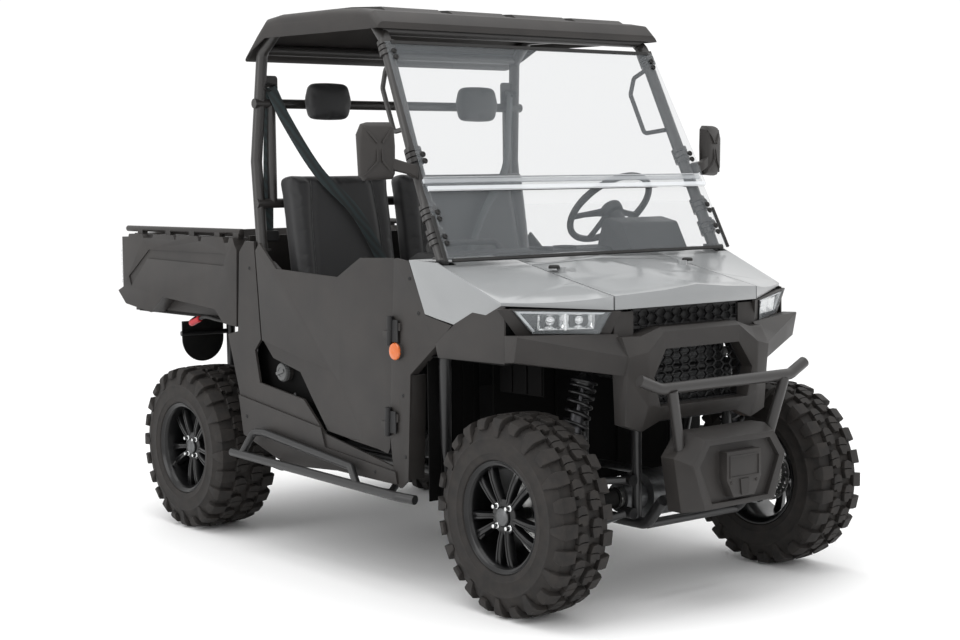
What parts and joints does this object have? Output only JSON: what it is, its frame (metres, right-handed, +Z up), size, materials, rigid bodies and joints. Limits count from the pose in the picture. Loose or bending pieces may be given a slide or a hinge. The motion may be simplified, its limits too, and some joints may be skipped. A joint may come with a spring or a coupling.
{
  "type": "side by side utility vehicle",
  "caption": "Two-seat side-by-side utility vehicle: roll cage, roof and windshield over a bench, half doors, tilting cargo bed, all-terrain tyres",
  "frame": {"origin": "on the ground, at the middle of the vehicle's length and width", "axes": "+X forward, +Y to the vehicle's left, +Z up"},
  "size_m": [3.144, 1.8004, 2.1194],
  "materials": {
    "tyre": "matte",
    "alloy": "gloss",
    "frame_black": "satin",
    "cage_charcoal": "satin",
    "casting": "cast",
    "alloy_bare": "satin",
    "steel": "satin",
    "chrome": "polished",
    "body_charcoal": "grained",
    "body_grey": "semi-gloss",
    "black_plastic": "grained",
    "lens": "clear",
    "windshield": "clear",
    "seat_cover": "stitched",
    "webbing": "woven",
    "rubber": "matte"
  },
  "bodies": {
    "chassis": {"chassis_rear": "frame_black", "chassis_front": "frame_black", "cab_frame": "frame_black", "suspension_arms": "frame_black", "shocks": "steel", "drive_shafts": "steel", "rear_hubs": "casting", "powertrain": "alloy_bare", "cab_floor": "black_plastic", "seat_base": "black_plastic", "seat_cushions": "seat_cover", "seat_backs": "seat_cover", "headrests": "seat_cover", "rops_left": "cage_charcoal", "rops_right": "cage_charcoal", "rops_cross": "cage_charcoal", "roof": "body_charcoal", "windshield": "windshield", "dashboard": "black_plastic", "cowl": "body_grey", "headlamps": "lens", "fenders": "body_grey", "arches": "body_charcoal", "nose": "body_charcoal", "grille": "black_plastic", "radiator": "alloy_bare", "bumper_bar": "cage_charcoal", "bumper_cover": "body_charcoal", "quarter_panels": "body_charcoal", "side_panels": "body_charcoal", "side_steps": "frame_black", "mirrors": "black_plastic", "splash_guards": "rubber", "seat_belts": "webbing"},
    "hood": {"hood": "body_grey"},
    "door_left": {"door_left": "body_charcoal"},
    "door_right": {"door_right": "body_charcoal"},
    "knuckle_left": {"knuckle_left": "casting"},
    "knuckle_right": {"knuckle_right": "casting"},
    "steering_wheel": {"steering_wheel": "black_plastic"},
    "bed": {"bed_floor": "black_plastic", "bed_front": "body_charcoal", "bed_side_left": "body_charcoal", "bed_side_right": "body_charcoal", "tail_lamps": "lens"},
    "tailgate": {"tailgate": "body_charcoal"},
    "strut_tube": {"strut_tube": "frame_black"},
    "strut_rod": {"strut_rod": "chrome"},
    "wheel_front_left": {"tyre_front_left": "tyre", "rim_front_left": "alloy"},
    "wheel_front_right": {"tyre_front_right": "tyre", "rim_front_right": "alloy"},
    "wheel_rear_left": {"tyre_rear_left": "tyre", "rim_rear_left": "alloy"},
    "wheel_rear_right": {"tyre_rear_right": "tyre", "rim_rear_right": "alloy"}
  },
  "joints": [
    {"name": "hood_hinge", "type": "hinge", "parent": "chassis", "child": "hood", "pos_m": [1.34, 0, 1.035], "axis": [0, 1, 0], "range_deg": [0, 60]},
    {"name": "door_left_hinge", "type": "hinge", "parent": "chassis", "child": "door_left", "pos_m": [0.512, 0.722, 0.6], "axis": [-0.0635, 0, -0.998], "range_deg": [0, 70]},
    {"name": "door_right_hinge", "type": "hinge", "parent": "chassis", "child": "door_right", "pos_m": [0.512, -0.722, 0.6], "axis": [0.0635, 0, 0.998], "range_deg": [0, 70]},
    {"name": "steer_left", "type": "hinge", "parent": "chassis", "child": "knuckle_left", "pos_m": [1.145, 0.54, 0.343], "axis": [0, 0, 1], "range_deg": [-28, 28]},
    {"name": "steer_right", "type": "hinge", "parent": "chassis", "child": "knuckle_right", "pos_m": [1.145, -0.54, 0.343], "axis": [0, 0, 1], "range_deg": [-28, 28]},
    {"name": "steering_wheel_turn", "type": "hinge", "parent": "chassis", "child": "steering_wheel", "pos_m": [0.5, 0.385, 1.345], "axis": [-0.7071, 0, 0.7071], "range_deg": [-270, 270]},
    {"name": "wheel_front_left_spin", "type": "hinge", "parent": "knuckle_left", "child": "wheel_front_left", "pos_m": [1.145, 0.625, 0.343], "axis": [0, 1, 0], "continuous": true},
    {"name": "wheel_front_right_spin", "type": "hinge", "parent": "knuckle_right", "child": "wheel_front_right", "pos_m": [1.145, -0.625, 0.343], "axis": [0, 1, 0], "continuous": true},
    {"name": "wheel_rear_left_spin", "type": "hinge", "parent": "chassis", "child": "wheel_rear_left", "pos_m": [-0.935, 0.63, 0.343], "axis": [0, 1, 0], "continuous": true},
    {"name": "wheel_rear_right_spin", "type": "hinge", "parent": "chassis", "child": "wheel_rear_right", "pos_m": [-0.935, -0.63, 0.343], "axis": [0, 1, 0], "continuous": true},
    {"name": "bed_tilt", "type": "hinge", "parent": "chassis", "child": "bed", "pos_m": [-1.29, 0, 0.845], "axis": [0, -1, 0], "range_deg": [0, 40]},
    {"name": "tailgate_hinge", "type": "hinge", "parent": "bed", "child": "tailgate", "pos_m": [-1.536, 0, 0.915], "axis": [0, -1, 0], "range_deg": [0, 90]},
    {"name": "strut_foot_pivot", "type": "hinge", "parent": "chassis", "child": "strut_tube", "pos_m": [-0.56, 0.385, 0.47], "axis": [0, 1, 0], "range_deg": [0, 5]},
    {"name": "strut_slide", "type": "slide", "parent": "strut_tube", "child": "strut_rod", "axis": [-0.4582, 0, 0.8889], "range_m": [0, 0.37]}
  ],
  "couplings": [
    {"joint": "steer_right", "follows": "steer_left", "ratio": 1},
    {"joint": "steering_wheel_turn", "follows": "steer_left", "ratio": 9.6},
    {"joint": "strut_foot_pivot", "follows": "bed_tilt", "ratio": 0.115},
    {"joint": "strut_slide", "follows": "bed_tilt", "m_per_rad": 0.518}
  ]
}
